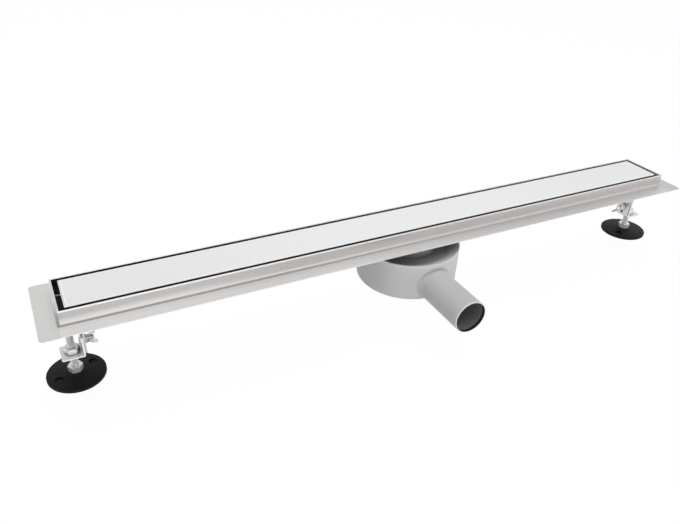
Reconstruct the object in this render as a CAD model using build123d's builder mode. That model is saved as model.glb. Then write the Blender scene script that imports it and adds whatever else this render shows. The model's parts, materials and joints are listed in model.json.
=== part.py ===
from build123d import *
import math
import os

os.makedirs("parts", exist_ok=True)

# Linear shower drain. Millimetres. The origin is the middle of the cover's top face,
# level with the finished floor; +X runs along the drain, -Y is the outlet's side, +Z is up.

# Rim, flange and trough, folded from one stainless sheet
rim_length = 1000.0         # inside the rim
rim_width = 73.0
sheet = 1.2
upstand = 19.8              # rim's top above the flange's top face
flange_reach = 25.4         # flange's edge beyond the inside of the rim, at the sides
flange_end_reach = 28.2     # the same at the ends
flange_corner = 5.0
wall_bend = 1.5             # bend at the upstand's foot
hem_round = 0.9             # rolled top edge
rim_corner = 1.6            # welded corner of the upstand
end_depth = 27.0            # trough floor below the rim's top, at its ends
outlet_depth = 32.8         # the same at the outlet
end_flat = 75.0             # level floor at each end
outlet_flat = 170.0         # level floor round the outlet

# Cover: glass bedded in a folded tray
side_gap = 5.2              # water gap along each side
end_gap = 7.0               # water gap at each end
tray_sheet = 1.0
tray_lip = 0.5              # tray's edge below the glass
glass_thickness = 6.0
glass_gap = 0.2
glass_chamfer = 0.6
glass_corner = 1.0
bedding_thickness = 2.0
bedding_width = 16.0
bedding_side = 5.1          # bare glass beside a strip
bedding_margin = 12.0       # bare glass at each end of a bedding strip
stop_width = 3.0            # end stops that keep the tray off the rim
stop_drop = 1.6             # stop's top below the glass
stop_play = 0.5             # stop's play against the rim

# Ledges in the trough that carry the tray
ledge_margin = 100.0        # first ledge from the rim's end
ledge_count = 4             # along each wall
ledge_length = 30.0
ledge_reach = 11.0
ledge_height = 13.5
ledge_sheet = 1.2
pad_thickness = 1.5
pad_length = 20.0
pad_width = 5.0

# Outlet and swivelling trap
trap_x = 10.0               # trap's axis from the drain's middle
ring_side_gap = 0.9         # locking ring's edge to the trough's walls
ring_lip = 2.6              # ring's edge beyond the hole in the floor
outlet_plate = 1.5
outlet_plate_width = 10.0
gasket_thickness = 2.0
gasket_edge = 0.6           # gasket's inner edge outside the hole
ring_gasket_thickness = 1.5
ring_gasket_edge = 0.2
swivel_gap = 0.15           # between what turns and what stays
collar_width = 8.0
lid_clearance = 5.0         # lid's rim below the trough's floor
lid_band = 6.5              # height of the lid's outer band
lid_rim = 1.8
lid_rim_round = 0.8
dish_depth = 8.5
dish_slope = 20.0           # width of the sloping ring inside the rim
lid_plate = 3.0
collar_reach = 2.0          # collar below the lid's plate
lid_plug = 5.5              # how far the lid reaches into the drum
fit_gap = 0.3               # loose fit between parts of the trap
drum_radius = 77.5
spigot_headroom = 3.5       # drum's wall above the spigot
drum_round = 7.0
trap_wall = 2.5
spigot_radius = 25.0
spigot_wall = 2.1
spigot_reach = 166.5        # spigot's end from the trap's axis
spigot_lift = 0.5           # spigot's lowest line above the drum's underside
spigot_chamfer = 0.8
flare = 3.0                 # swelling where the spigot leaves the drum
flare_length = 5.0
flare_root = 4.0            # how deep the swelling starts inside the drum's wall

# Locking ring, dip tube, water cup and strainer
ring_flange = 3.0
ring_play = 0.5             # skirt in the hole
ring_wall = 3.0
ring_reach = 16.0           # threaded skirt below the ring's flange
ring_notch = 6.0
ring_notches = 4
thread_gap = 0.1
dip_flange = 2.5
dip_ledge = 2.8             # width of the step the dip tube hangs on
dip_plug = 9.0
dip_radius = 19.5
dip_wall = 2.0
dip_rise = 4.0              # dip tube's end above the cup's floor
dip_play = 0.6              # plug in the ring's bore
funnel_height = 6.5
seal_section = 1.4          # O-ring, section radius
seal_play = 0.1             # O-ring to bore and groove
groove_play = 0.3
lift_bar = 4.0
cup_gap = 0.9
cup_wall = 1.8
cup_height = 32.0
cup_foot = 1.5
cup_foot_radius = 2.0
cup_ribs = 3
rib = 2.0
rib_drop = 6.0              # ribs below the cup's rim
rib_step = 6.0              # rib's reach under the dip tube's end
strainer_inset = 1.2        # strainer inside the ring's edge
strainer_height = 9.0
strainer_sheet = 0.8
strainer_round = 1.6
strainer_hole = 2.2
strainer_pitch = 8.5        # between circles of holes
strainer_circles = 3

# Levelling legs, one under each end
leg_inset = 6.0             # spindle's axis inside the rim's end
leg_plate = 2.5             # hanger and bracket plate
leg_plate_bend = 2.5
hanger_inset = 15.0         # hanger's outer face from the spindle's axis
hanger_width = 26.0
hanger_foot = 24.0
hanger_margin = 4.0         # plate below the slot
plate_corner = 3.0          # rounded corners of hanger and bracket
slot_width = 6.6
slot_up = 10.0              # bracket's travel in the slot
slot_down = 8.0
slide_gap = 0.15
bolt_drop = 46.8            # clamp bolt below the trough
bracket_width = 30.0
bracket_reach = 14.5        # shelf beyond the spindle's axis
head_clearance = 0.6        # bolt's head above the shelf nut
bracket_rise = 13.0         # bracket's top above the clamp bolt
bolt_radius = 3.0
bolt_head_radius = 6.5
bolt_head = 2.6
bolt_neck = 6.0
bolt_neck_gap = 0.1
bolt_tail = 2.0             # bolt's end beyond the wing nut
washer_radius = 6.25
washer_thickness = 1.6
washer_bore = 3.2
wing_hub_radius = 6.0
wing_hub_nose = 4.7
wing_hub_length = 8.0
wing_length = 15.0
wing_height = 6.2
wing_thickness = 2.4
wing_centre = 9.6           # wing's middle from the bolt's axis
wing_middle = 7.2           # wing's middle from the hub's base
wing_lean = 48.0
wing_turn = {"left": 81.0, "right": 38.0}
spindle_radius = 5.0
spindle_free = 30.0         # thread above the shelf nut
spindle_chamfer = 0.8
spindle_end = 4.2           # pin in the foot's socket
spindle_pin = 6.0
hex_across = 17.0
hex_height = 8.0
hex_bevel = 0.8             # turned corners of nut and spindle
nut_height = 8.0
screw_up = 12.0             # spindle's travel up through the shelf
hex_margin = 7.5
foot_radius = 38.0
foot_edge = 3.2
foot_edge_bevel = 1.0
foot_floor = 1.1            # under the spindle's pin
foot_hub_step = 0.8
foot_wall = 2.4
foot_rim = 3.6              # width of the ring the foot stands on
foot_hub = 14.0
foot_ribs = 6
foot_rib = 2.0
foot_holes = 2
foot_hole_radius = 2.5
foot_hole_circle = 50.0
foot_hole_turn = 25.0       # first hole, from +X
foot_seat_radius = 5.5
foot_boss = 7.0
foot_seat = 4.0             # screw seat above the floor
foot_socket_gap = 0.1
foot_socket_clearance = 0.4

# Levels and places that follow from them
half_length = rim_length / 2
half_width = rim_width / 2
cover_length = rim_length - 2 * end_gap
cover_width = rim_width - 2 * side_gap
flange_top = -upstand
floor_top = -outlet_depth
floor_under = floor_top - sheet
end_under = -end_depth - sheet
tray_under = -glass_thickness - bedding_thickness - tray_sheet
ledge_top = tray_under - pad_thickness
ledge_step = (rim_length - 2 * ledge_margin) / (ledge_count - 1)
ledge_stations = [ledge_margin - half_length + number * ledge_step for number in range(ledge_count)]
ring_radius = half_width - ring_side_gap
outlet_radius = ring_radius - ring_lip
collar_radius = outlet_radius + collar_width
plate_under = floor_under - outlet_plate
collar_top = plate_under - swivel_gap - gasket_thickness
lid_top = floor_under - lid_clearance
dish_floor = lid_top - dish_depth
seam = lid_top - lid_band
drum_height = 2 * spigot_radius + spigot_lift + spigot_headroom
drum_under = seam - drum_height
drum_floor = drum_under + trap_wall
drum_inside = drum_radius - trap_wall
spigot_z = drum_under + spigot_radius + spigot_lift
ring_under = floor_top + ring_gasket_thickness + swivel_gap
ring_top = ring_under + ring_flange
ring_skirt = outlet_radius - ring_play
ring_bore = ring_skirt - ring_wall
dip_top = ring_top
dip_seat = dip_top - dip_flange
cup_radius = ring_bore - cup_gap
cup_floor = drum_floor + cup_foot + cup_wall
cup_rim = cup_floor + cup_height
dip_end = cup_floor + dip_rise
plug_radius = ring_bore - dip_play
groove_radius = ring_bore - 2 * (seal_section + seal_play)
groove_top = dip_seat - dip_plug / 2 + seal_section + groove_play
groove_floor = groove_top - 2 * (seal_section + groove_play)
strainer_radius = ring_radius - strainer_inset
leg_x = half_length - leg_inset
bolt_z = end_under - bolt_drop
hanger_end = bolt_z - slot_down - slot_width / 2 - hanger_margin
shelf_top = bolt_z - bolt_head_radius - head_clearance - nut_height
shelf_under = shelf_top - leg_plate
spindle_top = shelf_top + nut_height + spindle_free
hex_top = shelf_under - screw_up - hex_margin
hex_under = hex_top - hex_height
foot_top = hex_under - swivel_gap
foot_height = spindle_pin + foot_socket_clearance + foot_floor
foot_under = foot_top - foot_height
trap_axis = Axis((trap_x, 0, 0), (0, 0, 1))


def save(piece, name):
    piece.part.label = name
    export_step(piece.part, f"parts/{name}.step")


def trough_line(drop, wall):
    """Side view of the trough: the floor falls from level ends to a level patch at the outlet."""
    end = half_length + wall
    low = trap_x - outlet_flat / 2, trap_x + outlet_flat / 2
    return [
        (-end, 0),
        (-end, -end_depth - drop),
        (-half_length + end_flat, -end_depth - drop),
        (low[0], -outlet_depth - drop),
        (low[1], -outlet_depth - drop),
        (half_length - end_flat, -end_depth - drop),
        (end, -end_depth - drop),
        (end, 0),
    ]


def turned_section(points, centre=0.0):
    """Half section (radius, height) in the XZ plane, for turning about an upright axis at X = centre."""
    with BuildSketch(Plane.XZ) as section:
        with BuildLine():
            Polyline([(centre + r, z) for r, z in points], close=True)
        make_face()
    return section.sketch


def hex_turning(low, high, centre):
    """Half section that turns the corners off a hexagon between two levels."""
    corner = hex_across / math.sqrt(3)
    return turned_section(
        [
            (0, low),
            (hex_across / 2, low),
            (corner, low + hex_bevel),
            (corner, high - hex_bevel),
            (hex_across / 2, high),
            (0, high),
        ],
        centre,
    )


# Channel: trough, hemmed upstand and flange in one folded sheet
with BuildPart() as channel:
    with BuildSketch(Plane.XZ):
        with BuildLine():
            Polyline(trough_line(sheet, sheet), close=True)
        make_face()
    extrude(amount=half_width + sheet, both=True)
    with BuildSketch(Plane.XY.offset(flange_top)):
        RectangleRounded(rim_length + 2 * flange_end_reach, rim_width + 2 * flange_reach, flange_corner)
    extrude(amount=-sheet)
    with BuildSketch(Plane.XY.offset(flange_top)):
        RectangleRounded(rim_length + 4 * sheet, rim_width + 4 * sheet, rim_corner)
    extrude(amount=upstand)
    flange_face = channel.faces().filter_by(Axis.Z).filter_by_position(Axis.Z, flange_top, flange_top)[0]
    fillet(flange_face.inner_wires()[0].edges(), radius=wall_bend)
    with BuildSketch(Plane.XZ):
        with BuildLine():
            Polyline(trough_line(0, 0), close=True)
        make_face()
    extrude(amount=half_width, both=True, mode=Mode.SUBTRACT)
    rim_face = channel.faces().filter_by(Axis.Z).sort_by(Axis.Z)[-1]
    fillet(rim_face.edges(), radius=hem_round)
    with BuildSketch(Plane.XY.offset(floor_top)):
        with Locations((trap_x, 0)):
            Circle(outlet_radius)
    extrude(amount=-sheet, mode=Mode.SUBTRACT)
save(channel, "channel")

# Cover tray, folded, with a small stop at each end
with BuildPart() as cover_tray:
    with BuildSketch(Plane.XY.offset(tray_under)):
        Rectangle(cover_length, cover_width)
    extrude(amount=-tray_lip - tray_under)
    with BuildSketch(Plane.XY.offset(tray_under + tray_sheet)):
        Rectangle(cover_length - 2 * tray_sheet, cover_width - 2 * tray_sheet)
    extrude(amount=-tray_under, mode=Mode.SUBTRACT)
    fillet(cover_tray.faces().sort_by(Axis.Z)[0].edges(), radius=tray_sheet)
    stop_reach = end_gap - stop_play
    with BuildSketch(Plane.XY.offset(-stop_drop)):
        with GridLocations(cover_length + stop_reach - tray_sheet / 2, 0, 2, 1):
            Rectangle(stop_reach + tray_sheet / 2, stop_width)
    extrude(amount=-tray_sheet)
save(cover_tray, "cover_tray")

# Glass panel with bevelled edges
glass_length = cover_length - 2 * (tray_sheet + glass_gap)
glass_width = cover_width - 2 * (tray_sheet + glass_gap)
bedding_spacing = glass_width - bedding_width - 2 * bedding_side
with BuildPart() as glass_panel:
    with BuildSketch():
        RectangleRounded(glass_length, glass_width, glass_corner)
    extrude(amount=-glass_thickness)
    chamfer(glass_panel.faces().sort_by(Axis.Z)[-1].edges(), length=glass_chamfer)
save(glass_panel, "glass_panel")

# Two strips that bond the glass to the tray
with BuildPart() as glass_bedding:
    with BuildSketch(Plane.XY.offset(-glass_thickness)):
        with GridLocations(0, bedding_spacing, 1, 2):
            Rectangle(glass_length - 2 * bedding_margin, bedding_width)
    extrude(amount=-bedding_thickness)
save(glass_bedding, "glass_bedding")

# Ledges welded to the trough's walls
for wall, side in (("front", -1), ("back", 1)):
    for number, station in enumerate(ledge_stations, start=1):
        wall_y = side * half_width
        with BuildPart() as ledge:
            with BuildSketch(Plane.YZ.offset(station - ledge_length / 2)):
                with BuildLine():
                    Polyline(
                        (wall_y, ledge_top),
                        (wall_y - side * ledge_reach, ledge_top),
                        (wall_y - side * ledge_reach, ledge_top - ledge_sheet),
                        (wall_y - side * ledge_sheet, ledge_top - ledge_sheet),
                        (wall_y - side * ledge_sheet, ledge_top - ledge_height),
                        (wall_y, ledge_top - ledge_height),
                        close=True,
                    )
                make_face()
            extrude(amount=ledge_length)
        save(ledge, f"ledge_{wall}_{number}")

# Rubber pads on the ledges
with BuildPart() as cover_pads:
    pad_y = half_width - ledge_reach + pad_width / 2
    with BuildSketch(Plane.XY.offset(ledge_top)):
        with Locations([(x, y) for x in ledge_stations for y in (-pad_y, pad_y)]):
            Rectangle(pad_length, pad_width)
    extrude(amount=pad_thickness)
save(cover_pads, "cover_pads")

# Stiffening plate welded under the outlet
with BuildPart() as outlet_flange:
    with BuildSketch(Plane.XY.offset(floor_under)):
        with Locations((trap_x, 0)):
            Circle(outlet_radius + outlet_plate_width)
            Circle(outlet_radius, mode=Mode.SUBTRACT)
    extrude(amount=-outlet_plate)
save(outlet_flange, "outlet_flange")

# Flat gaskets under the plate and under the locking ring
with BuildPart() as outlet_gasket:
    with BuildSketch(Plane.XY.offset(collar_top)):
        with Locations((trap_x, 0)):
            Circle(collar_radius)
            Circle(outlet_radius + gasket_edge, mode=Mode.SUBTRACT)
    extrude(amount=gasket_thickness)
save(outlet_gasket, "outlet_gasket")

with BuildPart() as ring_gasket:
    with BuildSketch(Plane.XY.offset(floor_top)):
        with Locations((trap_x, 0)):
            Circle(ring_radius)
            Circle(outlet_radius + ring_gasket_edge, mode=Mode.SUBTRACT)
    extrude(amount=ring_gasket_thickness)
save(ring_gasket, "ring_gasket")

# Trap lid: dished, with a raised rim and the threaded collar under the outlet
with BuildPart() as trap_lid:
    collar_bore = ring_skirt + thread_gap
    plug_edge = drum_inside - fit_gap
    collar_end = dish_floor - lid_plate - collar_reach
    rim_edge = drum_radius - lid_rim
    dish_edge = rim_edge - dish_slope
    plug_inside = plug_edge - trap_wall
    plug_top = dish_floor + dish_depth * (plug_inside - dish_edge) / dish_slope - lid_plate
    section = turned_section(
        [
            (collar_bore, collar_end),
            (collar_bore, collar_top),
            (collar_radius, collar_top),
            (collar_radius, dish_floor),
            (dish_edge, dish_floor),
            (rim_edge, lid_top),
            (drum_radius, lid_top),
            (drum_radius, seam),
            (plug_edge, seam),
            (plug_edge, seam - lid_plug),
            (plug_inside, seam - lid_plug),
            (plug_inside, plug_top),
            (dish_edge, dish_floor - lid_plate),
            (collar_bore + lid_plate, dish_floor - lid_plate),
            (collar_bore + lid_plate, collar_end),
        ],
        trap_x,
    )
    revolve(section, axis=trap_axis)
    fillet(trap_lid.faces().filter_by(Axis.Z).sort_by(Axis.Z)[-1].edges(), radius=lid_rim_round)
save(trap_lid, "trap_lid")

# Trap body: drum with the outlet spigot
with BuildPart() as trap_body:
    with BuildSketch(Plane.XY.offset(drum_under)):
        with Locations((trap_x, 0)):
            Circle(drum_radius)
    extrude(amount=drum_height)
    fillet(trap_body.edges().sort_by(Axis.Z)[0], radius=drum_round)
    with BuildSketch(Plane.XZ):
        with Locations((trap_x, spigot_z)):
            Circle(spigot_radius)
    extrude(amount=spigot_reach)
    root = drum_inside - flare_root
    flare_end = drum_radius + flare_length
    with BuildSketch(Plane.XY.offset(spigot_z)):
        with BuildLine():
            mouth = Line((trap_x, -root), (trap_x + spigot_radius + flare, -root))
            throat = TangentArc(
                [(trap_x + spigot_radius, -flare_end), mouth @ 1],
                tangent=(0, 1),
            )
            Polyline(throat @ 0, (trap_x, -flare_end), mouth @ 0)
        make_face()
    revolve(axis=Axis((trap_x, 0, spigot_z), (0, 1, 0)))
    split(bisect_by=Plane.XY.offset(drum_under), keep=Keep.TOP)
    split(bisect_by=Plane.XY.offset(seam), keep=Keep.BOTTOM)
    with BuildSketch(Plane.XY.offset(drum_floor)):
        with Locations((trap_x, 0)):
            Circle(drum_inside)
    extrude(amount=drum_height, mode=Mode.SUBTRACT)
    floor_face = trap_body.faces().filter_by(Axis.Z).filter_by_position(Axis.Z, drum_floor, drum_floor)[0]
    fillet(floor_face.edges(), radius=drum_round - trap_wall)
    with BuildSketch(Plane.XZ.offset(drum_inside / 2)):
        with Locations((trap_x, spigot_z)):
            Circle(spigot_radius - spigot_wall)
    extrude(amount=spigot_reach, mode=Mode.SUBTRACT)
    mouth_edges = trap_body.faces().sort_by(Axis.Y)[0].edges()
    chamfer(mouth_edges.sort_by(SortBy.LENGTH)[-1], length=spigot_chamfer)
save(trap_body, "trap_body")

# Locking ring: screwed down through the outlet into the lid's collar
with BuildPart() as locking_ring:
    section = turned_section(
        [
            (ring_bore, ring_under - ring_reach),
            (ring_skirt, ring_under - ring_reach),
            (ring_skirt, ring_under),
            (ring_radius, ring_under),
            (ring_radius, ring_top),
            (ring_bore + dip_ledge, ring_top),
            (ring_bore + dip_ledge, dip_seat),
            (ring_bore, dip_seat),
        ],
        trap_x,
    )
    revolve(section, axis=trap_axis)
    with BuildSketch(Plane.XY.offset(ring_top)):
        with Locations((trap_x, 0)):
            with PolarLocations(ring_radius, ring_notches, start_angle=45):
                Rectangle(ring_notch / 2, ring_notch)
    extrude(amount=-ring_flange / 2, mode=Mode.SUBTRACT)
save(locking_ring, "locking_ring")

# Dip tube: hangs in the locking ring and reaches into the water
with BuildPart() as dip_tube:
    throat_radius = groove_radius - dip_wall
    section = turned_section(
        [
            (throat_radius, dip_top),
            (ring_bore + dip_ledge - fit_gap, dip_top),
            (ring_bore + dip_ledge - fit_gap, dip_seat),
            (plug_radius, dip_seat),
            (plug_radius, groove_top),
            (groove_radius, groove_top),
            (groove_radius, groove_floor),
            (plug_radius, groove_floor),
            (plug_radius, dip_seat - dip_plug),
            (dip_radius, dip_seat - dip_plug - funnel_height),
            (dip_radius, dip_end),
            (dip_radius - dip_wall, dip_end),
            (dip_radius - dip_wall, dip_seat - dip_plug - funnel_height),
            (throat_radius, dip_seat - dip_plug),
        ],
        trap_x,
    )
    revolve(section, axis=trap_axis)
    with BuildSketch(Plane.XY.offset(dip_top)):
        with Locations((trap_x, 0)):
            Rectangle(2 * throat_radius + dip_wall, lift_bar)
    extrude(amount=-dip_flange)
save(dip_tube, "dip_tube")

# O-ring round the dip tube
with BuildPart() as dip_tube_seal:
    with BuildSketch(Plane.XZ):
        with Locations((trap_x + groove_radius + seal_section + seal_play, (groove_top + groove_floor) / 2)):
            Circle(seal_section)
    revolve(axis=trap_axis)
save(dip_tube_seal, "dip_tube_seal")

# Water cup: holds the seal round the dip tube's end, on three feet
with BuildPart() as water_cup:
    section = turned_section(
        [
            (0, drum_floor + cup_foot),
            (cup_radius, drum_floor + cup_foot),
            (cup_radius, cup_rim),
            (cup_radius - cup_wall, cup_rim),
            (cup_radius - cup_wall, cup_floor),
            (0, cup_floor),
        ],
        trap_x,
    )
    revolve(section, axis=trap_axis)
    centring = (cup_rim - rib_drop, dip_radius + fit_gap)
    carrying = (dip_end - fit_gap, dip_radius - rib_step)
    for height, inner in (centring, carrying):
        rib_length = cup_radius - cup_wall / 2 - inner
        with BuildSketch(Plane.XY.offset(cup_floor)):
            with Locations((trap_x, 0)):
                with PolarLocations(inner + rib_length / 2, cup_ribs, start_angle=30):
                    Rectangle(rib_length, rib)
        extrude(amount=height - cup_floor)
    with BuildSketch(Plane.XY.offset(drum_floor)):
        with Locations((trap_x, 0)):
            with PolarLocations(cup_radius - 2 * cup_foot_radius, cup_ribs, start_angle=30):
                Circle(cup_foot_radius)
    extrude(amount=cup_foot)
save(water_cup, "water_cup")

# Hair strainer: a perforated cap on the locking ring
with BuildPart() as hair_strainer:
    with BuildSketch(Plane.XY.offset(ring_top)):
        with Locations((trap_x, 0)):
            Circle(strainer_radius)
    extrude(amount=strainer_height)
    fillet(hair_strainer.edges().sort_by(Axis.Z)[-1], radius=strainer_round)
    offset(amount=-strainer_sheet, openings=hair_strainer.faces().sort_by(Axis.Z)[0])
    with BuildSketch(Plane.XY.offset(ring_top + strainer_height)):
        for number in range(1, strainer_circles + 1):
            with Locations((trap_x, 0)):
                with PolarLocations(number * strainer_pitch, 6 * number):
                    Circle(strainer_hole)
    extrude(amount=-2 * strainer_sheet, mode=Mode.SUBTRACT)
save(hair_strainer, "hair_strainer")

# Levelling legs. "inward" points from the spindle towards the drain's middle.
for word, side in (("left", -1), ("right", 1)):
    axis_x = side * leg_x
    inward = -side
    hanger_x = axis_x + inward * hanger_inset
    leg_axis = Axis((axis_x, 0, 0), (0, 0, 1))

    # Hanger: slotted angle welded under the trough
    with BuildPart() as hanger:
        with BuildSketch(Plane.XZ):
            with BuildLine():
                Polyline(
                    (hanger_x, end_under),
                    (hanger_x + inward * hanger_foot, end_under),
                    (hanger_x + inward * hanger_foot, end_under - leg_plate),
                    (hanger_x + inward * leg_plate, end_under - leg_plate),
                    (hanger_x + inward * leg_plate, hanger_end),
                    (hanger_x, hanger_end),
                    close=True,
                )
            make_face()
        extrude(amount=hanger_width / 2, both=True)
        top_edges = hanger.edges().filter_by(Axis.Y).group_by(Axis.Z)[-1]
        fillet(top_edges.sort_by(Axis.X)[::side][-1], radius=leg_plate_bend)
        fillet(hanger.edges().filter_by(Axis.X).group_by(Axis.Z)[0], radius=plate_corner)
        slot_middle = bolt_z + (slot_up - slot_down) / 2
        slot_length = slot_up + slot_down + slot_width
        with BuildSketch(Plane.YZ.offset(hanger_x)):
            with Locations((0, slot_middle)):
                SlotOverall(slot_length, slot_width, rotation=90)
        extrude(amount=leg_plate * inward, mode=Mode.SUBTRACT)
    save(hanger, f"hanger_{word}")

    # Bracket: angle with a square hole for the clamp bolt and a shelf for the spindle
    bracket_face = hanger_x - inward * slide_gap
    with BuildPart() as leg_bracket:
        with BuildSketch(Plane.XZ):
            with BuildLine():
                Polyline(
                    (bracket_face, bolt_z + bracket_rise),
                    (bracket_face, shelf_under),
                    (axis_x - inward * bracket_reach, shelf_under),
                    (axis_x - inward * bracket_reach, shelf_top),
                    (bracket_face - inward * leg_plate, shelf_top),
                    (bracket_face - inward * leg_plate, bolt_z + bracket_rise),
                    close=True,
                )
            make_face()
        extrude(amount=bracket_width / 2, both=True)
        low_edges = leg_bracket.edges().filter_by(Axis.Y).group_by(Axis.Z)[0]
        fillet(low_edges.sort_by(Axis.X)[::side][0], radius=leg_plate_bend)
        fillet(leg_bracket.edges().filter_by(Axis.X).group_by(Axis.Z)[-1], radius=plate_corner)
        fillet(leg_bracket.edges().filter_by(Axis.Z).sort_by(Axis.X)[::side][-2:], radius=plate_corner)
        with BuildSketch(Plane.YZ.offset(bracket_face)):
            with Locations((0, bolt_z)):
                Rectangle(bolt_neck + 2 * bolt_neck_gap, bolt_neck + 2 * bolt_neck_gap)
        extrude(amount=-leg_plate * inward, mode=Mode.SUBTRACT)
        with BuildSketch(Plane.XY.offset(shelf_top)):
            with Locations((axis_x, 0)):
                Circle(spindle_radius + thread_gap)
        extrude(amount=-leg_plate, mode=Mode.SUBTRACT)
    save(leg_bracket, f"leg_bracket_{word}")

    # Clamp bolt: cup head and square neck, tail towards the middle of the drain
    head_x = bracket_face - inward * leg_plate
    washer_x = hanger_x + inward * (leg_plate + slide_gap)
    nut_x = washer_x + inward * (washer_thickness + swivel_gap)
    tail_x = nut_x + inward * (wing_hub_length + bolt_tail)
    with BuildPart() as clamp_bolt:
        with BuildSketch(Plane.XZ):
            with BuildLine():
                face = Line((head_x, bolt_z), (head_x, bolt_z + bolt_head_radius))
                crown = (head_x - inward * bolt_head, bolt_z)
                TangentArc([crown, face @ 1], tangent=(0, 1))
                Line(crown, face @ 0)
            make_face()
        revolve(axis=Axis((0, 0, bolt_z), (1, 0, 0)))
        with BuildSketch(Plane.YZ.offset(head_x)):
            with Locations((0, bolt_z)):
                Rectangle(bolt_neck, bolt_neck)
        extrude(amount=inward * leg_plate)
        with BuildSketch(Plane.YZ.offset(head_x)):
            with Locations((0, bolt_z)):
                Circle(bolt_radius)
        extrude(amount=tail_x - head_x)
    save(clamp_bolt, f"clamp_bolt_{word}")

    with BuildPart() as washer:
        with BuildSketch(Plane.YZ.offset(washer_x)):
            with Locations((0, bolt_z)):
                Circle(washer_radius)
                Circle(washer_bore, mode=Mode.SUBTRACT)
        extrude(amount=inward * washer_thickness)
    save(washer, f"washer_{word}")

    # Wing nut: tapered hub and two leaning wings
    wing_plane = Plane(origin=(nut_x, 0, bolt_z), x_dir=(inward, 0, 0), z_dir=(0, 1, 0))
    wing_plane = wing_plane.rotated((wing_turn[word], 0, 0))
    with BuildPart() as wing_nut:
        with BuildSketch(Plane.XZ):
            with BuildLine():
                Polyline(
                    (nut_x, bolt_z),
                    (nut_x, bolt_z + wing_hub_radius),
                    (nut_x + inward * wing_hub_length, bolt_z + wing_hub_nose),
                    (nut_x + inward * wing_hub_length, bolt_z),
                    close=True,
                )
            make_face()
        revolve(axis=Axis((0, 0, bolt_z), (1, 0, 0)))
        with BuildSketch(wing_plane):
            for wing in (-1, 1):
                with Locations(Location((wing_middle, wing * wing_centre), wing * wing_lean)):
                    SlotOverall(wing_length, wing_height)
        extrude(amount=wing_thickness / 2, both=True)
        with BuildSketch(Plane.YZ.offset(nut_x)):
            with Locations((0, bolt_z)):
                Circle(bolt_radius + thread_gap)
        extrude(amount=2 * wing_hub_length, both=True, mode=Mode.SUBTRACT)
    save(wing_nut, f"wing_nut_{word}")

    # Nut welded on the shelf: the spindle screws through it
    with BuildPart() as shelf_nut:
        with BuildSketch(Plane.XY.offset(shelf_top)):
            with Locations((axis_x, 0)):
                RegularPolygon(hex_across / 2, 6, major_radius=False)
                Circle(spindle_radius + thread_gap, mode=Mode.SUBTRACT)
        extrude(amount=nut_height)
        revolve(hex_turning(shelf_top, shelf_top + nut_height, axis_x), axis=leg_axis, mode=Mode.INTERSECT)
    save(shelf_nut, f"shelf_nut_{word}")

    # Spindle: threaded rod with a hexagon above the foot
    with BuildPart() as spindle:
        with BuildSketch(Plane.XY.offset(hex_under)):
            with Locations((axis_x, 0)):
                RegularPolygon(hex_across / 2, 6, major_radius=False)
        extrude(amount=hex_height)
        revolve(hex_turning(hex_under, hex_top, axis_x), axis=leg_axis, mode=Mode.INTERSECT)
        with BuildSketch(Plane.XY.offset(hex_top)):
            with Locations((axis_x, 0)):
                Circle(spindle_radius)
        extrude(amount=spindle_top - hex_top)
        chamfer(spindle.edges().sort_by(Axis.Z)[-1], length=spindle_chamfer)
        with BuildSketch(Plane.XY.offset(hex_under)):
            with Locations((axis_x, 0)):
                Circle(spindle_end)
        extrude(amount=-spindle_pin)
    save(spindle, f"spindle_{word}")

    # Foot: domed disc, hollow and ribbed underneath, with seats for floor screws
    with BuildPart() as foot:
        section = turned_section(
            [
                (0, foot_under),
                (foot_hub - foot_wall, foot_under),
                (foot_hub - foot_wall, foot_top - foot_wall),
                (foot_radius - foot_rim, foot_under + foot_edge + foot_edge_bevel - foot_wall),
                (foot_radius - foot_rim, foot_under),
                (foot_radius, foot_under),
                (foot_radius, foot_under + foot_edge),
                (foot_radius - foot_edge_bevel, foot_under + foot_edge + foot_edge_bevel),
                (foot_hub + foot_hub_step, foot_top - foot_hub_step),
                (foot_hub, foot_top),
                (0, foot_top),
            ],
            axis_x,
        )
        revolve(section, axis=leg_axis)
        with BuildSketch(Plane.XY.offset(foot_under)):
            with Locations((axis_x, 0)):
                with PolarLocations(foot_radius / 2, foot_ribs, start_angle=30):
                    Rectangle(foot_radius - foot_wall, foot_rib)
        extrude(amount=foot_edge - foot_edge_bevel)
        with BuildSketch(Plane.XY.offset(foot_under)):
            with Locations((axis_x, 0)):
                with PolarLocations(foot_hole_circle / 2, foot_holes, start_angle=foot_hole_turn):
                    Circle(foot_boss)
        extrude(amount=foot_seat)
        with BuildSketch(Plane.XY.offset(foot_under + foot_seat)):
            with Locations((axis_x, 0)):
                with PolarLocations(foot_hole_circle / 2, foot_holes, start_angle=foot_hole_turn):
                    Circle(foot_seat_radius)
        extrude(amount=foot_height, mode=Mode.SUBTRACT)
        with BuildSketch(Plane.XY.offset(foot_under)):
            with Locations((axis_x, 0)):
                with PolarLocations(foot_hole_circle / 2, foot_holes, start_angle=foot_hole_turn):
                    Circle(foot_hole_radius)
        extrude(amount=foot_height, mode=Mode.SUBTRACT)
        with BuildSketch(Plane.XY.offset(foot_top)):
            with Locations((axis_x, 0)):
                Circle(spindle_end + foot_socket_gap)
        extrude(amount=-spindle_pin - foot_socket_clearance, mode=Mode.SUBTRACT)
    save(foot, f"foot_{word}")
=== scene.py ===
import json
import math

import bmesh
import bpy
from mathutils import Matrix, Vector


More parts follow.
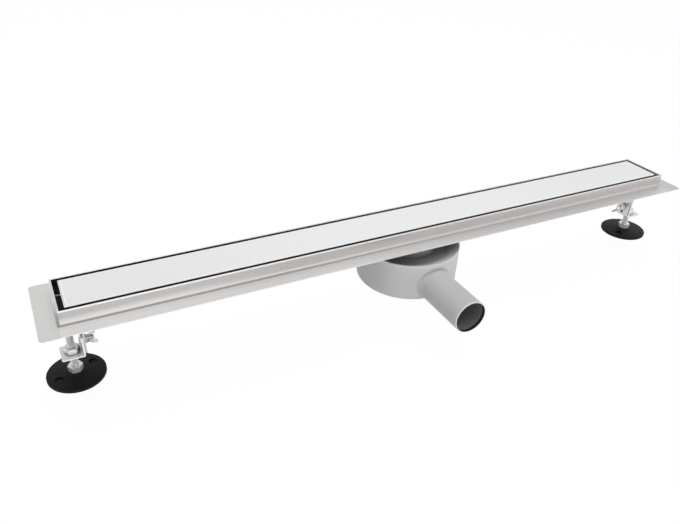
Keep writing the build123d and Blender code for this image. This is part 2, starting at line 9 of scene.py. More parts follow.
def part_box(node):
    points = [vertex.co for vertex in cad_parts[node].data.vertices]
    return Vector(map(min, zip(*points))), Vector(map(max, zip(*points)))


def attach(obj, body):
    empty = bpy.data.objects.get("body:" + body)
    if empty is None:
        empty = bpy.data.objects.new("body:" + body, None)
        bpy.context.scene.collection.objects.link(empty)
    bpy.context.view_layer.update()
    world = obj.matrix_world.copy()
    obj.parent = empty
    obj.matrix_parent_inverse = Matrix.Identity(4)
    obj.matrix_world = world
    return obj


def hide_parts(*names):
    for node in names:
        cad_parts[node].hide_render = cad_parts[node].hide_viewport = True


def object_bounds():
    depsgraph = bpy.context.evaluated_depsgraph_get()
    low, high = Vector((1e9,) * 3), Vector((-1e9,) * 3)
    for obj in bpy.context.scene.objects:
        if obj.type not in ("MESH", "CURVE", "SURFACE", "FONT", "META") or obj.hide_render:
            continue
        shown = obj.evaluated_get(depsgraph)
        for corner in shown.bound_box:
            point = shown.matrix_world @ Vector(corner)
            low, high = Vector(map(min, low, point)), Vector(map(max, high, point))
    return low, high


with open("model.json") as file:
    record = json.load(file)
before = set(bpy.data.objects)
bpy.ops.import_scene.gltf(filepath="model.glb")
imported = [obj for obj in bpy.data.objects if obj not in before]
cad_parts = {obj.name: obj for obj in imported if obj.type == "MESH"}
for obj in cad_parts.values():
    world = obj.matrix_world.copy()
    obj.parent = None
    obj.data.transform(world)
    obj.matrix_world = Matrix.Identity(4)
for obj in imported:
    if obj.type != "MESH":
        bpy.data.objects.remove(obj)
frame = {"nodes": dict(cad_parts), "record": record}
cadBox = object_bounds()
nodes = frame["nodes"]
scene = bpy.context.scene
slotOf = {entry["node"]: entry["material_slot"] for entry in frame["record"]["subparts"]}
bodyOf = {node: body for body, held in frame["record"]["behaviour"]["bodies"].items() for node in held}
mountAt = {mount["name"]: mount["pos_m"] for mount in frame["record"]["mounts"]}


class Wire:  # one shader socket, so that masks are written as sums
    def __init__(self, paint, socket):
        self.paint = paint
        self.socket = socket

    def __add__(self, other):
        return self.paint.maths("ADD", self, other)

    def __radd__(self, other):
        return self.paint.maths("ADD", other, self)

    def __sub__(self, other):
        return self.paint.maths("SUBTRACT", self, other)

    def __rsub__(self, other):
        return self.paint.maths("SUBTRACT", other, self)

    def __mul__(self, other):
        return self.paint.maths("MULTIPLY", self, other)

    def __rmul__(self, other):
        return self.paint.maths("MULTIPLY", other, self)

    def __abs__(self):
        return self.paint.maths("ABSOLUTE", self)

    def __neg__(self):
        return self.paint.maths("MULTIPLY", self, -1.0)


class Paint:  # one material and its nodes
    def __init__(self, name):
        self.material = bpy.data.materials.new(name)
        self.material.use_nodes = True
        self.tree = self.material.node_tree
        self.shader = self.tree.nodes["Principled BSDF"]

    def plug(self, socket, value):
        if isinstance(value, Wire):
            self.tree.links.new(value.socket, socket)
        else:
            isColour = isinstance(value, tuple) and len(socket.default_value) == 4
            socket.default_value = (*value, 1) if isColour else value

    def add(self, kind, settings, sockets, out=0):  # any node: settings first, then sockets
        node = self.tree.nodes.new("ShaderNode" + kind)
        for key, value in settings.items():
            setattr(node, key, value)
        for key, value in sockets.items():
            self.plug(node.inputs[key], value)
        return Wire(self, node.outputs[out])

    def maths(self, operation, *values):
        return self.add("Math", {"operation": operation}, dict(enumerate(values)))

    def place(self):  # in the part's own frame, metres
        return self.add("TexCoord", {}, {}, "Object")

    def along(self, letter):
        return self.add("SeparateXYZ", {}, {0: self.place()}, letter)

    def noise(self, stretch, detail=2.0, rough=0.5):
        spot = self.add("VectorMath", {"operation": "MULTIPLY"}, {0: self.place(), 1: stretch})
        return self.add("TexNoise", {}, {"Vector": spot, "Scale": 1.0, "Detail": detail, "Roughness": rough})

    def fade(self, value, low, high, base=0.0):  # 0 below low, 1 above high, both counted from base
        return self.add("MapRange", {"interpolation_type": "SMOOTHSTEP"},
                        {"Value": value, "From Min": base + low, "From Max": base + high})

    def drop(self, value, low, high, base=0.0):  # 1 below low, 0 above high
        return 1.0 - self.fade(value, low, high, base)

    def band(self, value, low, high, soft):  # 1 between low and high
        return self.fade(value, low - soft, low + soft) * self.drop(value, high - soft, high + soft)

    def blend(self, mask, first, second):
        return self.add("Mix", {"data_type": "RGBA"}, {0: mask, 6: first, 7: second}, 2)

    def nearer(self, mask, tones):  # from the far tone to the near one
        return self.blend(mask, tones["far"], tones["near"])

    def scale(self, colour, factor):
        return self.add("VectorMath", {"operation": "SCALE"}, {0: colour, "Scale": factor})

    def crevice(self, reach):  # 0 in tight corners, 1 in the open
        return self.add("AmbientOcclusion", {"samples": 8}, {"Distance": reach}, "AO")

    def bump(self, height, depth):
        return self.add("Bump", {}, {"Height": height, "Distance": depth, "Strength": 1.0})

    def wear(self, **looks):  # the shader's own sockets
        for key, value in looks.items():
            words = "".join(" " + c if c.isupper() else c for c in key)
            self.plug(self.shader.inputs[(words[0].upper() + words[1:]).replace("Ior", "IOR")], value)
        return self.material


# finishes

noiseMiddle = 0.5
brush = {  # streaks along X
    "fine": (5, 900, 900),
    "fineDetail": 3.0,
    "broad": (1.5, 160, 160),
    "share": 0.5,  # of the fine streaks in the colour, and of the broad ones
    "depth": 0.00001,
}
steelLook = {"dark": (0.56, 0.555, 0.55), "light": (0.68, 0.675, 0.67), "roughness": 0.34, "spread": 0.10}
# painted shade: the ledges' steel is near black, for the shade deep in the trough
ledgeShadeLook = {"dark": (0.07, 0.07, 0.07), "light": (0.12, 0.12, 0.12), "roughness": 0.45, "spread": 0.10}
# painted light: a much brighter copy of the stainless, so that the outlet plate's edge shows lit under the
# trough
plateLightLook = {"dark": (0.80, 0.79, 0.78), "light": (0.92, 0.91, 0.90), "roughness": 0.45, "spread": 0.10}


def brushedSteel(name, look):
    paint = Paint(name)
    fine = paint.noise(brush["fine"], brush["fineDetail"])
    broad = paint.noise(brush["broad"])
    streak = fine * brush["share"] + broad * brush["share"]
    return paint.wear(
        baseColor=paint.blend(streak, look["dark"], look["light"]),
        metallic=1.0,
        roughness=look["roughness"] + look["spread"] * (fine - noiseMiddle),
        normal=paint.bump(fine, brush["depth"]),
    )


trayLook = {
    **steelLook,
    # painted shade on the end stops in the gap
    "stop": (0.20, 0.20, 0.20),
    "stopFrom": (0.0016, 0.0020),  # past the glass's end
    # painted highlight on the tray's top edge
    "edge": (0.93, 0.93, 0.93),
    "edgeFrom": (-0.0007, -0.0002),  # from the tray's top
    "edgeMetal": 0.3,
}


def traySteel(name, look):  # a painted highlight on the top edge, and painted shade on the end stops in the gap
    glassEnd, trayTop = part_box("glass_panel")[1][0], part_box("cover_tray")[1][2]
    paint = Paint(name)
    fine = paint.noise(brush["fine"], brush["fineDetail"])
    sheet = paint.blend(fine, look["dark"], look["light"])
    # painted shade past the glass's end
    past = paint.fade(abs(paint.along("X")), *look["stopFrom"], glassEnd)
    # painted highlight along the top edge
    onEdge = paint.fade(paint.along("Z"), *look["edgeFrom"], trayTop)
    sheet = paint.blend(onEdge, sheet, look["edge"])
    return paint.wear(
        baseColor=paint.blend(past, sheet, look["stop"]),
        metallic=1.0 - (1.0 - look["edgeMetal"]) * onEdge,
        roughness=look["roughness"] + look["spread"] * (fine - noiseMiddle),
        normal=paint.bump(fine, brush["depth"]),
    )


# far is the +X end, near the -X end; the far, middle and near tones are painted light and painted reflection
# along the length
# a From runs along -X, a Depth down from the rim, and a Width out from the bend
channelLook = {
    "halfLength": 0.5,
    "halfWidth": 0.0365,
    "skin": 0.0024,
    "bend": 0.0015,
    "nearFrom": (-0.05, 0.50),
    "dull": 0.92,
    # painted reflection: the wall's tone changes along its length
    "wall": {"far": (0.745, 0.712, 0.702), "middle": (0.668, 0.643, 0.634), "near": (0.765, 0.748, 0.740)},
    "wallMiddleFrom": (-0.30, -0.05),
    "wallNearFrom": (0.15, 0.35),
    # painted reflection: the wall is darker at its top and lighter at its bottom
    "wallTone": {"top": 0.84, "bottom": 1.06},
    "wallToneDepth": (0.001, 0.017),
    "wallEdge": 0.0004,
    # painted reflection: a near-white band at the wall's foot, strongest at the near end
    "foot": (0.99, 0.97, 0.96),
    "footDepth": (0.008, 0.0172),
    "footFrom": (0.20, 0.44),
    "footLeast": 0.08,
    "footDull": 0.65,
    # painted highlight along the rim's top, less bright at the mitred ends
    "lip": {"far": (0.76, 0.742, 0.735), "near": (0.98, 0.968, 0.960)},
    "lipDepth": (0.0009, 0.0020),
    "lipEnd": (0.72, 0.71, 0.70),
    "mitre": (-0.0005, 0.0005),
    # painted highlight: a bright line on the bend at the wall's foot
    "fold": {"far": (0.78, 0.760, 0.752), "near": (0.98, 0.965, 0.955)},
    "foldDepth": (0.0152, 0.0182),
    "foldSoft": 0.0006,
    # painted shade: a dark line in the crease where the wall meets the flange
    "crease": {"far": (0.60, 0.582, 0.575), "near": (0.40, 0.388, 0.382)},
    "creaseDepth": (0.0180, 0.0190),
    "creaseWidth": (0.0008, 0.0020),
    "lineEnd": (-0.0010, 0.0),
    "lineBack": (-0.034, 0.020),
    # painted light and painted reflection: the flange's tone changes along its length
    "flange": {"far": (0.65, 0.642, 0.633), "middle": (0.85, 0.842, 0.831), "near": (0.88, 0.870, 0.859)},
    "flangeMiddleFrom": (-0.30, 0.15),
    "flangeNearFrom": (0.25, 0.45),
    # painted shade on the flange next to the wall
    "flangeRoot": 0.90,
    "flangeRootWidth": (0.001, 0.015),
    # painted shade on the flange past each end
    "flangeEnd": {"far": (0.58, 0.575, 0.568), "near": (0.72, 0.714, 0.705)},
    "flangeEndPast": (0.0005, 0.0060),
    "flangeMetal": 0.5,
    # painted shade: the trough's inside, dark towards the near end
    "inside": {"far": (0.66, 0.66, 0.66), "near": (0.08, 0.08, 0.08)},
    "insideFrom": (-0.30, 0.40),
    "insideEdge": (0.0002, 0.0006),
    "insideDepth": (0.0003, 0.0010),
    "insideRough": 0.2,
    "broad": (1.5, 120, 120),
    "streaks": 0.10,
    "roughness": 0.36,
    "spread": 0.08,
}


def alongSheet(paint, x, look, key):  # painted light and reflection: three tones from the far end to the near one
    tones = look[key]
    toMiddle = paint.blend(paint.fade(-x, *look[key + "MiddleFrom"]), tones["far"], tones["middle"])
    return paint.blend(paint.fade(-x, *look[key + "NearFrom"]), toMiddle, tones["near"])


def channelSteel(name, look):
    paint = Paint(name)
    x, y, z = (paint.along(letter) for letter in "XYZ")
    pastSide, pastEnd = abs(y) - look["halfWidth"], abs(x) - look["halfLength"]
    beyond = paint.maths("MAXIMUM", pastSide, pastEnd)  # from the rim's inside
    bendEnd = look["skin"] + look["bend"]
    # far-to-near mask for the painted highlights and shades on the rim, fold, crease and flange ends
    near = paint.fade(-x, *look["nearFrom"])
    pairs = ("lip", "fold", "crease", "flangeEnd")
    lip, fold, crease, flangeEnd = (paint.nearer(near, look[key]) for key in pairs)
    # painted reflection: a near-white band at the wall's foot, over a wall that is darker at the top and
    # lighter at the bottom
    footShare = look["footLeast"] + (1.0 - look["footLeast"]) * paint.fade(-x, *look["footFrom"])
    foot = paint.fade(-z, *look["footDepth"]) * footShare
    top, bottom = look["wallTone"]["top"], look["wallTone"]["bottom"]
    wallTone = top + (bottom - top) * paint.fade(-z, *look["wallToneDepth"])
    wall = paint.scale(alongSheet(paint, x, look, "wall"), wallTone)
    wall = paint.blend(foot, wall, look["foot"])
    # painted shade on the flange next to the wall
    root = look["flangeRoot"]
    rootShade = root + (1.0 - root) * paint.fade(beyond, *look["flangeRootWidth"], bendEnd)
    flange = paint.scale(alongSheet(paint, x, look, "flange"), rootShade)
    # painted shade on the flange past each end
    flange = paint.blend(paint.fade(pastEnd, *look["flangeEndPast"]), flange, flangeEnd)
    atEnd = paint.fade(pastEnd - pastSide, *look["mitre"])
    # the painted highlight and painted shade lines along the wall's foot fade to the back of each end
    clear = 1.0 - paint.fade(pastEnd, *look["lineEnd"]) * paint.fade(y, *look["lineBack"])
    onWall = paint.drop(beyond, look["skin"] + look["wallEdge"], bendEnd)
    outside = paint.blend(onWall, flange, wall)
    # painted highlight along the fold
    onFold = paint.band(-z, *look["foldDepth"], look["foldSoft"]) * onWall * clear
    outside = paint.blend(onFold, outside, fold)
    # painted highlight on the rim's top
    onLip = paint.drop(-z, *look["lipDepth"])
    outside = paint.blend(onLip, outside, paint.blend(atEnd, lip, look["lipEnd"]))
    # painted shade in the crease
    inCrease = paint.fade(-z, *look["creaseDepth"]) * paint.drop(beyond, *look["creaseWidth"], bendEnd)
    outside = paint.blend(inCrease * clear, outside, crease)
    # painted shade inside the trough
    within = paint.drop(beyond, *look["insideEdge"]) * paint.fade(-z, *look["insideDepth"])
    paintedInsideShade = paint.nearer(paint.fade(-x, *look["insideFrom"]), look["inside"])
    sheet = paint.blend(within, outside, paintedInsideShade)
    fine = paint.noise(brush["fine"], brush["fineDetail"])
    broad = paint.noise(look["broad"])
    lines = paint.maths("MAXIMUM", onFold, onLip * (1.0 - within))
    dull = paint.maths("MAXIMUM", look["dull"] * lines, look["footDull"] * foot * onWall)
    flangeDull = (1.0 - look["flangeMetal"]) * (1.0 - onWall) * (1.0 - within)
    return paint.wear(
        baseColor=paint.scale(sheet, 1.0 + look["streaks"] * (fine + broad - 2 * noiseMiddle)),
        metallic=(1.0 - dull) * (1.0 - flangeDull),
        roughness=look["roughness"] + look["spread"] * (fine - noiseMiddle) + look["insideRough"] * within,
        normal=paint.bump(fine, brush["depth"]),
    )


zincLook = {
    "dark": (0.90, 0.91, 0.92),
    "light": (0.98, 0.985, 0.99),
    # painted shade: this tone goes into corners and between parts, by ambient occlusion
    "grime": (0.13, 0.135, 0.15),
    "corner": 0.006,
    "open": (0.25, 0.85),  # painted corner shade below, plain plate above
    "metal": 0.42,
    "roughness": 0.20,
    "spread": 0.08,
    "cloud": (420, 420, 420),
    "cloudDetail": (4.0, 0.6),
    "cloudMiddle": 0.4,
    "depth": 0.000015,
}
rodLook = {**zincLook, "corner": 0.0015, "metal": 0.60}  # a short reach for the painted corner shade, so the rod stays bright between the threads
# painted shade: the wing nuts' zinc is a darker copy
wingShadeLook = {**zincLook, "dark": (0.60, 0.61, 0.62), "light": (0.78, 0.785, 0.79), "metal": 0.75}


def zincPlate(name, look):
    paint = Paint(name)
    cloud = paint.noise(look["cloud"], *look["cloudDetail"])
    plate = paint.blend(cloud, look["dark"], look["light"])
    # painted shade in corners and between parts, from ambient occlusion
    inOpen = paint.fade(paint.crevice(look["corner"]), *look["open"])
    return paint.wear(
        baseColor=paint.blend(inOpen, look["grime"], plate),
        metallic=look["metal"],
        roughness=look["roughness"] + look["spread"] * (cloud - look["cloudMiddle"]),
        normal=paint.bump(cloud, look["depth"]),
    )


glassLook = {
    # painted reflection: the face is lighter in the middle than at the ends
    "face": {"middle": (0.872, 0.878, 0.886), "ends": (0.832, 0.838, 0.847)},
    "faceEnds": (0.10, 0.45),
    # painted highlight along the glass's edges and at its ends
    "edge": (0.94, 0.945, 0.95),
    "edgeFrom": (-0.0025, -0.0005),  # from the rim
    "edgeShare": 0.8,
    "tipFrom": (-0.0030, -0.0021),  # from each end
    "drift": (3, 20, 20),
    "driftDetail": 1.0,
    "driftShare": 0.08,
    "roughness": 0.05,
    "spread": 0.03,
    "coat": 0.2,
    "coatRoughness": 0.02,
}


def whiteGlass(name, look):
    paint = Paint(name)
    halfLength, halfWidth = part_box("glass_panel")[1][:2]
    x, y = (paint.along(letter) for letter in "XY")
    pastEnd, pastSide = abs(x) - halfLength, abs(y) - halfWidth
    rim = paint.maths("MAXIMUM", pastEnd, pastSide)
    drift = paint.noise(look["drift"], look["driftDetail"])
    # painted highlight along the edges and ends, with a random drift
    mask = paint.fade(rim, *look["edgeFrom"]) * look["edgeShare"] + drift * look["driftShare"]
    tip = paint.fade(pastEnd, *look["tipFrom"])
    # painted reflection: lighter in the middle of the face
    face = paint.blend(paint.fade(abs(x), *look["faceEnds"]), look["face"]["middle"], look["face"]["ends"])
    return paint.wear(
        baseColor=paint.blend(paint.maths("MAXIMUM", mask, tip), face, look["edge"]),
        roughness=look["roughness"] + look["spread"] * drift,
        coatWeight=look["coat"],
        coatRoughness=look["coatRoughness"],
    )


mould = {  # what every moulding has: a fine grain over a slow drift
    "drift": (25, 25, 25),
    "driftShare": 0.7,
    "driftRough": 0.12,
    "grainShare": 0.3,
    "grainRough": 0.06,
    "depth": 0.00003,
}
greyLook = {
    "dark": (0.57, 0.57, 0.58),
    "light": (0.63, 0.63, 0.64),
    "roughness": 0.48,
    "grain": (1500, 1500, 1500),
    "gloss": 0.4,
}
darkLook = {**greyLook, "dark": (0.07, 0.07, 0.075), "light": (0.10, 0.10, 0.105), "roughness": 0.5}
blackLook = {
    "dark": (0.002, 0.002, 0.002),
    "light": (0.005, 0.005, 0.005),
    "roughness": 0.55,
    "grain": (1100, 1100, 1100),
    "gloss": 0.20,
}


def mouldedPlastic(name, look, shade=None, shadeLook=None):
    paint = Paint(name)
    grain = paint.noise(look["grain"])
    drift = paint.noise(mould["drift"])
    mottle = grain * mould["grainShare"] + drift * mould["driftShare"]
    colour = paint.blend(mottle, look["dark"], look["light"])
    if shade:
        colour = shade(paint, colour, shadeLook)
    driftRough = mould["driftRough"] * (drift - noiseMiddle)
    grainRough = mould["grainRough"] * (grain - noiseMiddle)
    return paint.wear(
        baseColor=colour,
        roughness=look["roughness"] + driftRough + grainRough,
        specularIorLevel=look["gloss"],
        normal=paint.bump(grain, mould["depth"]),
    )


def distance(paint, first, second):
    return paint.maths("SQRT", first * first + second * second)


dishLook = {  # a Soft is counted from its radius, a Depth from the lid's top
    "edge": 0.0757,
    "edgeSoft": (-0.0006, 0.0),
    "lit": (0.044, 0.076),
    "litFrom": 286.0,
    "shade": {"left": (0.24, 0.24, 0.24), "right": (0.32, 0.32, 0.32)},
    "shadeFrom": (-0.065, 0.01),
    "neck": 0.0422,
    "neckSoft": (0.0, 0.0006),
    "neckDepth": (-0.0021, -0.0016),
    "neckShade": (0.20, 0.20, 0.20),
    "lipSoft": (0.0, 0.0005),
    "lipDepth": (-0.0076, -0.0040),
    # painted highlight: the lid's outside is lighter near its top
    "lipTone": (0.74, 0.74, 0.745),
    "lipShare": 0.35,
}


def dishShade(paint, colour, look):  # in the trough's shade, and lightest at its front right
    low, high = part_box("trap_lid")
    x, y, z = paint.along("X") - (low[0] + high[0]) / 2, paint.along("Y"), paint.along("Z")
    radius = distance(paint, x, y)
    inDish = paint.drop(radius, *look["edgeSoft"], look["edge"])
    turn = math.radians(look["litFrom"])
    lit = paint.fade(x * math.cos(turn) + y * math.sin(turn), *look["lit"])
    shade = paint.blend(paint.fade(x, *look["shadeFrom"]), look["shade"]["left"], look["shade"]["right"])
    dish = paint.blend(inDish * (1.0 - lit), colour, shade)
    inNeck = paint.drop(radius, *look["neckSoft"], look["neck"]) * paint.drop(z, *look["neckDepth"], high[2])
    dish = paint.blend(inNeck, dish, look["neckShade"])
    # painted highlight on the lid's rim, outside the dish
    onLip = paint.fade(radius, *look["lipSoft"], look["edge"]) * paint.fade(z, *look["lipDepth"], high[2])
    return paint.blend(onLip * look["lipShare"], dish, look["lipTone"])


drumLook = {  # a Soft is counted from its radius or depth
    "radius": 0.0775,
    "radiusSoft": (0.0, 0.008),
    # painted shade: the spigot is a little darker than the drum
    "spigot": 0.88,
    "spigotFrom": (-0.012, 0.004),  # from the drum's front
    # painted shade where the spigot meets the drum, by ambient occlusion
    "root": (0.28, 0.28, 0.285),
    "rootCorner": 0.010,
    "rootOpen": (0.45, 0.90),
    # painted highlight on the mouth's end face
    "mouth": (0.70, 0.70, 0.70),
    "mouthDepth": 0.0016,
    "mouthSoft": (0.0, 0.0004),
    # a near-black ring at the mouth's inner edge and over the first part of the bore
    "lip": (0.02, 0.02, 0.02),
    "lipEdge": 0.0236,
    "lipEdgeSoft": (-0.0002, 0.0002),
    "lipDepth": 0.0045,
    "lipDepthSoft": (-0.0005, 0.0005),
    "bore": 0.0229,
    "boreSoft": (0.0002, 0.0005),
    # painted shade in the bore
    "inside": (0.23, 0.225, 0.225),
}


def drumShade(paint, colour, look):  # painted shade at the spigot's root, over the spigot and in its bore, a painted highlight on the mouth's end face, and a near-black ring inside the mouth
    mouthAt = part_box("trap_body")[0][1]
    outlet = mountAt["outlet_spigot"]
    x, y, z = paint.along("X") - outlet[0], paint.along("Y"), paint.along("Z") - outlet[2]
    radius = distance(paint, x, z)
    drumFront = -look["radius"]
    # painted shade over the spigot
    onSpigot = paint.drop(y, *look["spigotFrom"], drumFront)
    tube = paint.scale(colour, 1.0 - (1.0 - look["spigot"]) * onSpigot)
    # painted shade at the spigot's root
    inOpen = paint.fade(paint.crevice(look["rootCorner"]), *look["rootOpen"])
    rooted = paint.blend(inOpen, look["root"], tube)
    # painted highlight on the mouth's end face, near black inside its edge
    pastEdge = paint.fade(radius, *look["lipEdgeSoft"], look["lipEdge"])
    ring = paint.blend(pastEdge, look["lip"], look["mouth"])
    pastMouth = paint.fade(y, *look["mouthSoft"], mouthAt + look["mouthDepth"])
    mouthed = paint.blend(pastMouth, ring, rooted)
    # the bore: near black near the mouth, then painted shade deeper in
    pastLip = paint.fade(y, *look["lipDepthSoft"], mouthAt + look["lipDepth"])
    hollow = paint.blend(pastLip, look["lip"], look["inside"])
    within = paint.drop(radius, *look["boreSoft"], look["bore"])
    beforeDrum = paint.drop(y, *look["radiusSoft"], drumFront)
    return paint.blend(within * beforeDrum, mouthed, hollow)


rubberLook = {
    "dark": (0.012, 0.012, 0.012),
    "light": (0.03, 0.03, 0.03),
    "grain": (900, 900, 900),
    "grainDetail": 3.0,
    "roughness": 0.65,
    "spread": 0.1,
    "depth": 0.00004,
}
sealantLook = {**rubberLook, "dark": (0.50, 0.50, 0.48), "light": (0.62, 0.62, 0.60)}


def softRubber(name, look):
    paint = Paint(name)
    grain = paint.noise(look["grain"], look["grainDetail"])
    return paint.wear(
        baseColor=paint.blend(grain, look["dark"], look["light"]),
        roughness=look["roughness"] + look["spread"] * (grain - noiseMiddle),
        normal=paint.bump(grain, look["depth"]),
    )


finishes = {  # by slot
    "stainless": brushedSteel("stainless", steelLook),
    "zinc": zincPlate("zinc", zincLook),
    "white_glass": whiteGlass("white_glass", glassLook),
    "grey_plastic": mouldedPlastic("grey_plastic", greyLook),
    "dark_plastic": mouldedPlastic("dark_plastic", darkLook),
    "black_plastic": mouldedPlastic("black_plastic", blackLook),
    "rubber": softRubber("rubber", rubberLook),
    "sealant": softRubber("sealant", sealantLook),
}
ownFinishes = {  # by the start of a node's name; these carry painted light and shade in their colours
    "channel": channelSteel("channel_sheet", channelLook),
    "cover_tray": traySteel("tray_sheet", trayLook),
    # painted light: the outlet plate gets the brighter copy of the stainless
    "outlet_flange": brushedSteel("plate_steel", plateLightLook),
    "trap_lid": mouldedPlastic("lid_plastic", greyLook, dishShade, dishLook),
    "trap_body": mouldedPlastic("drum_plastic", greyLook, drumShade, drumLook),
    "ledge_": brushedSteel("ledge_steel", ledgeShadeLook),  # painted shade: near-black steel, as if deep in the trough's shade
    "spindle_": zincPlate("rod_zinc", rodLook),
    # painted shade: a darker copy of the zinc on the wing nuts
    "wing_nut_": zincPlate("wing_zinc", wingShadeLook),
}
finishOf = {node: finishes[slot] for node, slot in slotOf.items()}
for stem, finish in ownFinishes.items():
    finishOf.update({node: finish for node in slotOf if node.startswith(stem)})
for node, finish in finishOf.items():
    for spot in nodes[node].material_slots:
        spot.material = finish
print("finishes:", len(finishes) + len(ownFinishes))


# pieces that stand for CAD nodes, with the detail that the solids leave out

meshing = {  # welds in metres, angles in degrees
    "weld": 1e-6,
    "threadWeld": 1e-7,
    "flat": 0.5,
    "sharp": 30,
    "crisp": 35,
}


def openMesh(node):
    mesh = bmesh.new()
    mesh.from_mesh(nodes[node].data)
    bmesh.ops.remove_doubles(mesh, verts=mesh.verts, dist=meshing["weld"])
    flat = math.radians(meshing["flat"])
    bmesh.ops.dissolve_limit(mesh, angle_limit=flat, verts=mesh.verts, edges=mesh.edges)
    return mesh


def ease(mesh, width, steps, sharp=meshing["sharp"]):  # rounds every edge that turns by more than sharp
    least = math.radians(sharp)
    edges = [e for e in mesh.edges if len(e.link_faces) == 2 and e.calc_face_angle() > least]
    bmesh.ops.bevel(mesh, geom=edges, offset=width, offset_type="OFFSET", segments=steps, profile=0.5,
                    affect="EDGES", clamp_overlap=True)


def closeHoles(mesh):
    bmesh.ops.holes_fill(mesh, edges=[e for e in mesh.edges if e.is_boundary], sides=0)


def standIn(node, mesh):
    data = bpy.data.meshes.new(node + "_made")
    bmesh.ops.recalc_face_normals(mesh, faces=mesh.faces)
    for face in mesh.faces:
        face.smooth = True
    mesh.to_mesh(data)
    mesh.free()
    data.set_sharp_from_angle(angle=math.radians(meshing["crisp"]))
    piece = bpy.data.objects.new(node + "_made", data)
    scene.collection.objects.link(piece)
    data.materials.append(finishOf[node])
    flat = piece.modifiers.new("flat faces", "WEIGHTED_NORMAL")
    flat.keep_sharp = True
    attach(piece, bodyOf[node])
    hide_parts(node)


softEdges = {  # start of the node's name: width of the eased edge and its steps
    "hanger": (0.0004, 2),
    "leg_bracket": (0.0004, 2),
    "washer": (0.0003, 2),
    "shelf_nut": (0.0003, 2),
    "wing_nut": (0.0008, 3),
}
for stem, (width, steps) in softEdges.items():
    for side in ("left", "right"):
        mesh = openMesh(f"{stem}_{side}")
        ease(mesh, width, steps)
        standIn(f"{stem}_{side}", mesh)
print("eased edges:", 2 * len(softEdges))


threadLook = {
    "profile": ((0.06, 0.0), (0.44, 1.0), (0.56, 1.0), (0.94, 0.0)),  # shares of pitch and height
    "spare": 2,  # turns past each end, pressed flat on it
    "runOut": 1.2,  # turns over which the thread dies away at the far end
}


def threadedRod(look, length, place):
    mesh = bmesh.new()
    steps, pitch, spare = look["steps"], look["pitch"], threadLook["spare"]
    turns = int(length / pitch) + 2 * spare
    rows = []
    for step in range(turns * steps + 1):
        angle = 2 * math.pi * step / steps
        row = []
        for shift, height in threadLook["profile"]:
            level = pitch * (step / steps + shift - spare)
            level = min(max(level, 0.0), length)
            runOut = min(1.0, level / pitch, (length - level) / (threadLook["runOut"] * pitch))
            radius = look["root"] + (look["crest"] - look["root"]) * height * runOut
            row.append(mesh.verts.new((radius * math.cos(angle), radius * math.sin(angle), level)))
        rows.append(row)
    for step in range(len(rows) - 1):
        here, ahead = rows[step], rows[step + 1]
        if step + 1 + steps < len(rows):
            here, ahead = here + [rows[step + steps][0]], ahead + [rows[step + steps + 1][0]]
        for spot in range(len(here) - 1):
            mesh.faces.new((here[spot], ahead[spot], ahead[spot + 1], here[spot + 1]))
    bmesh.ops.remove_doubles(mesh, verts=mesh.verts, dist=meshing["threadWeld"])
    bmesh.ops.dissolve_degenerate(mesh, edges=mesh.edges, dist=meshing["threadWeld"])
    bmesh.ops.delete(mesh, geom=[e for e in mesh.edges if not e.link_faces], context="EDGES")
    closeHoles(mesh)
    bmesh.ops.transform(mesh, matrix=place, verts=mesh.verts)
    data = bpy.data.meshes.new("rod")
    mesh.to_mesh(data)
    mesh.free()
    return data


def cutAway(mesh, point, outward):  # what lies beyond the plane goes, and the cut is closed
    everything = [*mesh.verts, *mesh.edges, *mesh.faces]
    bmesh.ops.bisect_plane(mesh, geom=everything, plane_co=point, plane_no=outward, clear_outer=True)
    closeHoles(mesh)


spindleLook = {
    "crest": 0.00498,
    "root": 0.0041,
    "pitch": 0.0015,
    "steps": 36,
    "hexTop": 0.014,
    "stub": 0.0004,
    "ease": (0.0003, 2, 20),
}
boltLook = {
    "crest": 0.00298,
    "root": 0.00242,
    "pitch": 0.001,
    "steps": 30,
    "neckEnd": 0.0051,
    "stub": 0.0004,
    "ease": (0.0003, 2),
}

for side, inward in (("left", 1), ("right", -1)):
    node = f"spindle_{side}"
    low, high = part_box(node)
    middle = (low[0] + high[0]) / 2
    hexTop = low[2] + spindleLook["hexTop"]
    mesh = openMesh(node)
    cutAway(mesh, (middle, 0, hexTop + spindleLook["stub"]), (0, 0, 1))
    ease(mesh, *spindleLook["ease"])
    mesh.from_mesh(threadedRod(spindleLook, high[2] - hexTop, Matrix.Translation((middle, 0, hexTop))))
    standIn(node, mesh)

    node = f"clamp_bolt_{side}"
    low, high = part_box(node)
    head, tail = (low[0], high[0])[::inward]
    neckEnd = head + inward * boltLook["neckEnd"]
    level = (low[2] + high[2]) / 2
    mesh = openMesh(node)
    cutAway(mesh, (neckEnd + inward * boltLook["stub"], 0, level), (inward, 0, 0))
    ease(mesh, *boltLook["ease"])
    lie = Matrix.Translation((neckEnd, 0, level)) @ Matrix.Rotation(inward * math.pi / 2, 4, "Y")
    mesh.from_mesh(threadedRod(boltLook, abs(tail - neckEnd), lie))
    standIn(node, mesh)
print("threads: spindles and clamp bolts")


# floor, world and lamps

white = (1.0, 1.0, 1.0)
seenKinds = ("Is Camera Ray", "Is Glossy Ray", "Is Transmission Ray")


def seenRays(paint):  # 1 on the rays that show the background
    seen = [paint.add("LightPath", {}, {}, kind) for kind in seenKinds]
    return paint.maths("MINIMUM", seen[0] + seen[1] + seen[2], 1.0)


floorLook = {"half": 30.0, "shade": (0.84, 0.84, 0.84), "roughness": 0.9, "glow": 1.02, "ownLight": 0.95}


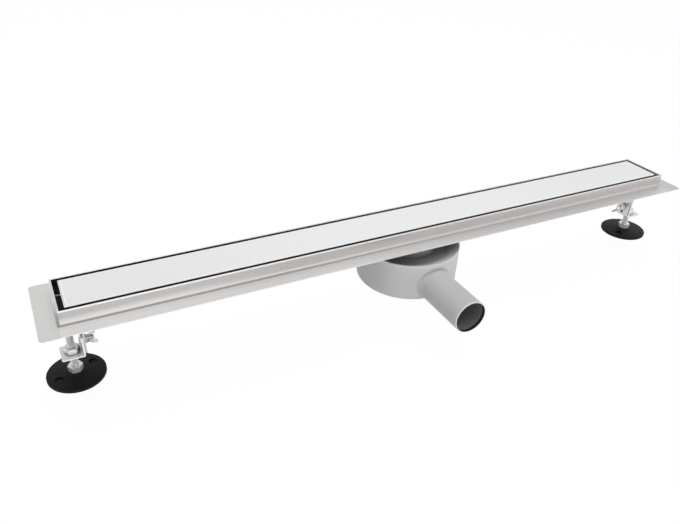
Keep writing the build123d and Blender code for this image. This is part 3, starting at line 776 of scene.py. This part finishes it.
def paleFloor(look, level):
    mesh = bpy.data.meshes.new("floor")
    half = look["half"]
    corners = [(-half, -half, level), (half, -half, level), (half, half, level), (-half, half, level)]
    mesh.from_pydata(corners, [], [(0, 1, 2, 3)])
    floor = bpy.data.objects.new("floor", mesh)
    scene.collection.objects.link(floor)
    paint = Paint("floor")
    paint.wear(baseColor=look["shade"], roughness=look["roughness"])
    glow = paint.add("Emission", {}, {"Color": white, "Strength": look["glow"]})
    matt = Wire(paint, paint.shader.outputs[0])
    both = paint.add("MixShader", {}, {0: seenRays(paint) * look["ownLight"], 1: matt, 2: glow})
    paint.plug(paint.tree.nodes["Material Output"].inputs["Surface"], both)
    mesh.materials.append(paint.material)


worldLook = {"light": 0.25, "ceiling": 0.35, "dusk": (0.56, 0.74), "zenith": 0.60, "above": (0.78, 0.92)}


class Sky(Paint):  # the world's nodes, made the same way
    def __init__(self, name):
        self.material = bpy.data.worlds.new(name)
        self.material.use_nodes = True
        self.tree = self.material.node_tree
        self.shader = self.tree.nodes["Background"]


def studioWorld(look):
    sky = Sky("studio")
    height = sky.add("SeparateXYZ", {}, {0: sky.add("TexCoord", {}, {}, "Generated")}, "Z")
    dusk = (1.0 - look["ceiling"]) * sky.fade(height, *look["dusk"])  # metal sees a darker ceiling
    dusk = dusk - (look["zenith"] - look["ceiling"]) * sky.fade(height, *look["above"])
    glossy = sky.add("LightPath", {}, {}, "Is Glossy Ray")
    seen = seenRays(sky)
    sky.wear(color=white, strength=look["light"] * (1.0 - seen) + seen - glossy * dusk)
    scene.world = sky.material


lamps = {
    "overhead": {"at": (-0.1, 0.0, 3.0), "aim": (0, 0, 0), "size": (5.0, 3.2), "power": 88},
    "frontRight": {"at": (1.6, -2.4, 0.35), "aim": (0.05, 0, -0.05), "size": (1.6, 1.0), "power": 15},
    "frontLeft": {"at": (-0.7, -2.6, 0.5), "aim": (0, 0, -0.05), "size": (1.6, 1.0), "power": 15},
}


def softLamp(name, look):
    data = bpy.data.lights.new(name, "AREA")
    data.shape = "RECTANGLE"
    data.size, data.size_y = look["size"]
    data.energy = look["power"]
    lamp = bpy.data.objects.new(name, data)
    lamp.location = look["at"]
    lamp.visible_glossy = False  # metal sees the room, not the lamps
    lamp.rotation_euler = (Vector(look["aim"]) - Vector(look["at"])).to_track_quat("-Z", "Y").to_euler()
    scene.collection.objects.link(lamp)


slides = [joint for joint in frame["record"]["behaviour"]["joints"] if joint["type"] == "slide"]
lowEnds = {joint["name"]: joint["range_m"][0] for joint in slides}
legDrop = lowEnds["left_leg_slide"] + lowEnds["left_spindle_screw"]  # below zero
paleFloor(floorLook, cadBox[0][2] + legDrop)  # clear of the feet when the legs are screwed right out
studioWorld(worldLook)
for name, look in lamps.items():
    softLamp(name, look)
print("studio:", len(lamps), "lamps")


# camera, at the photograph's angle

view = {
    "aim": (-0.16684, -0.06326, 0.0),
    "distance": 0.89016,
    "azimuth": 27.07,
    "elevation": 32.0,
    "roll": 1.994,
    "lens": 35.36,
    "sensor": 36.0,
    "shift": (0.0232, -0.0008),
    "clip": 0.01,
}


def photoCamera(look):
    turn, tilt, roll = (math.radians(look[key]) for key in ("azimuth", "elevation", "roll"))
    ahead = Vector((math.sin(turn) * math.cos(tilt), math.cos(turn) * math.cos(tilt), -math.sin(tilt)))
    level = Vector((math.cos(turn), -math.sin(turn), 0))
    upright = level.cross(ahead)
    right = math.cos(roll) * level + math.sin(roll) * upright
    above = math.cos(roll) * upright - math.sin(roll) * level
    data = bpy.data.cameras.new("camera")
    data.sensor_width = look["sensor"]
    data.lens = look["lens"]
    data.shift_x, data.shift_y = look["shift"]
    data.clip_start = look["clip"]
    camera = bpy.data.objects.new("camera", data)
    stand = Matrix.Translation(Vector(look["aim"]) - look["distance"] * ahead)
    camera.matrix_world = stand @ Matrix((right, above, -ahead)).transposed().to_4x4()
    scene.collection.objects.link(camera)
    scene.camera = camera


photoCamera(view)
scene.view_settings.view_transform = "Standard"
print("camera set")
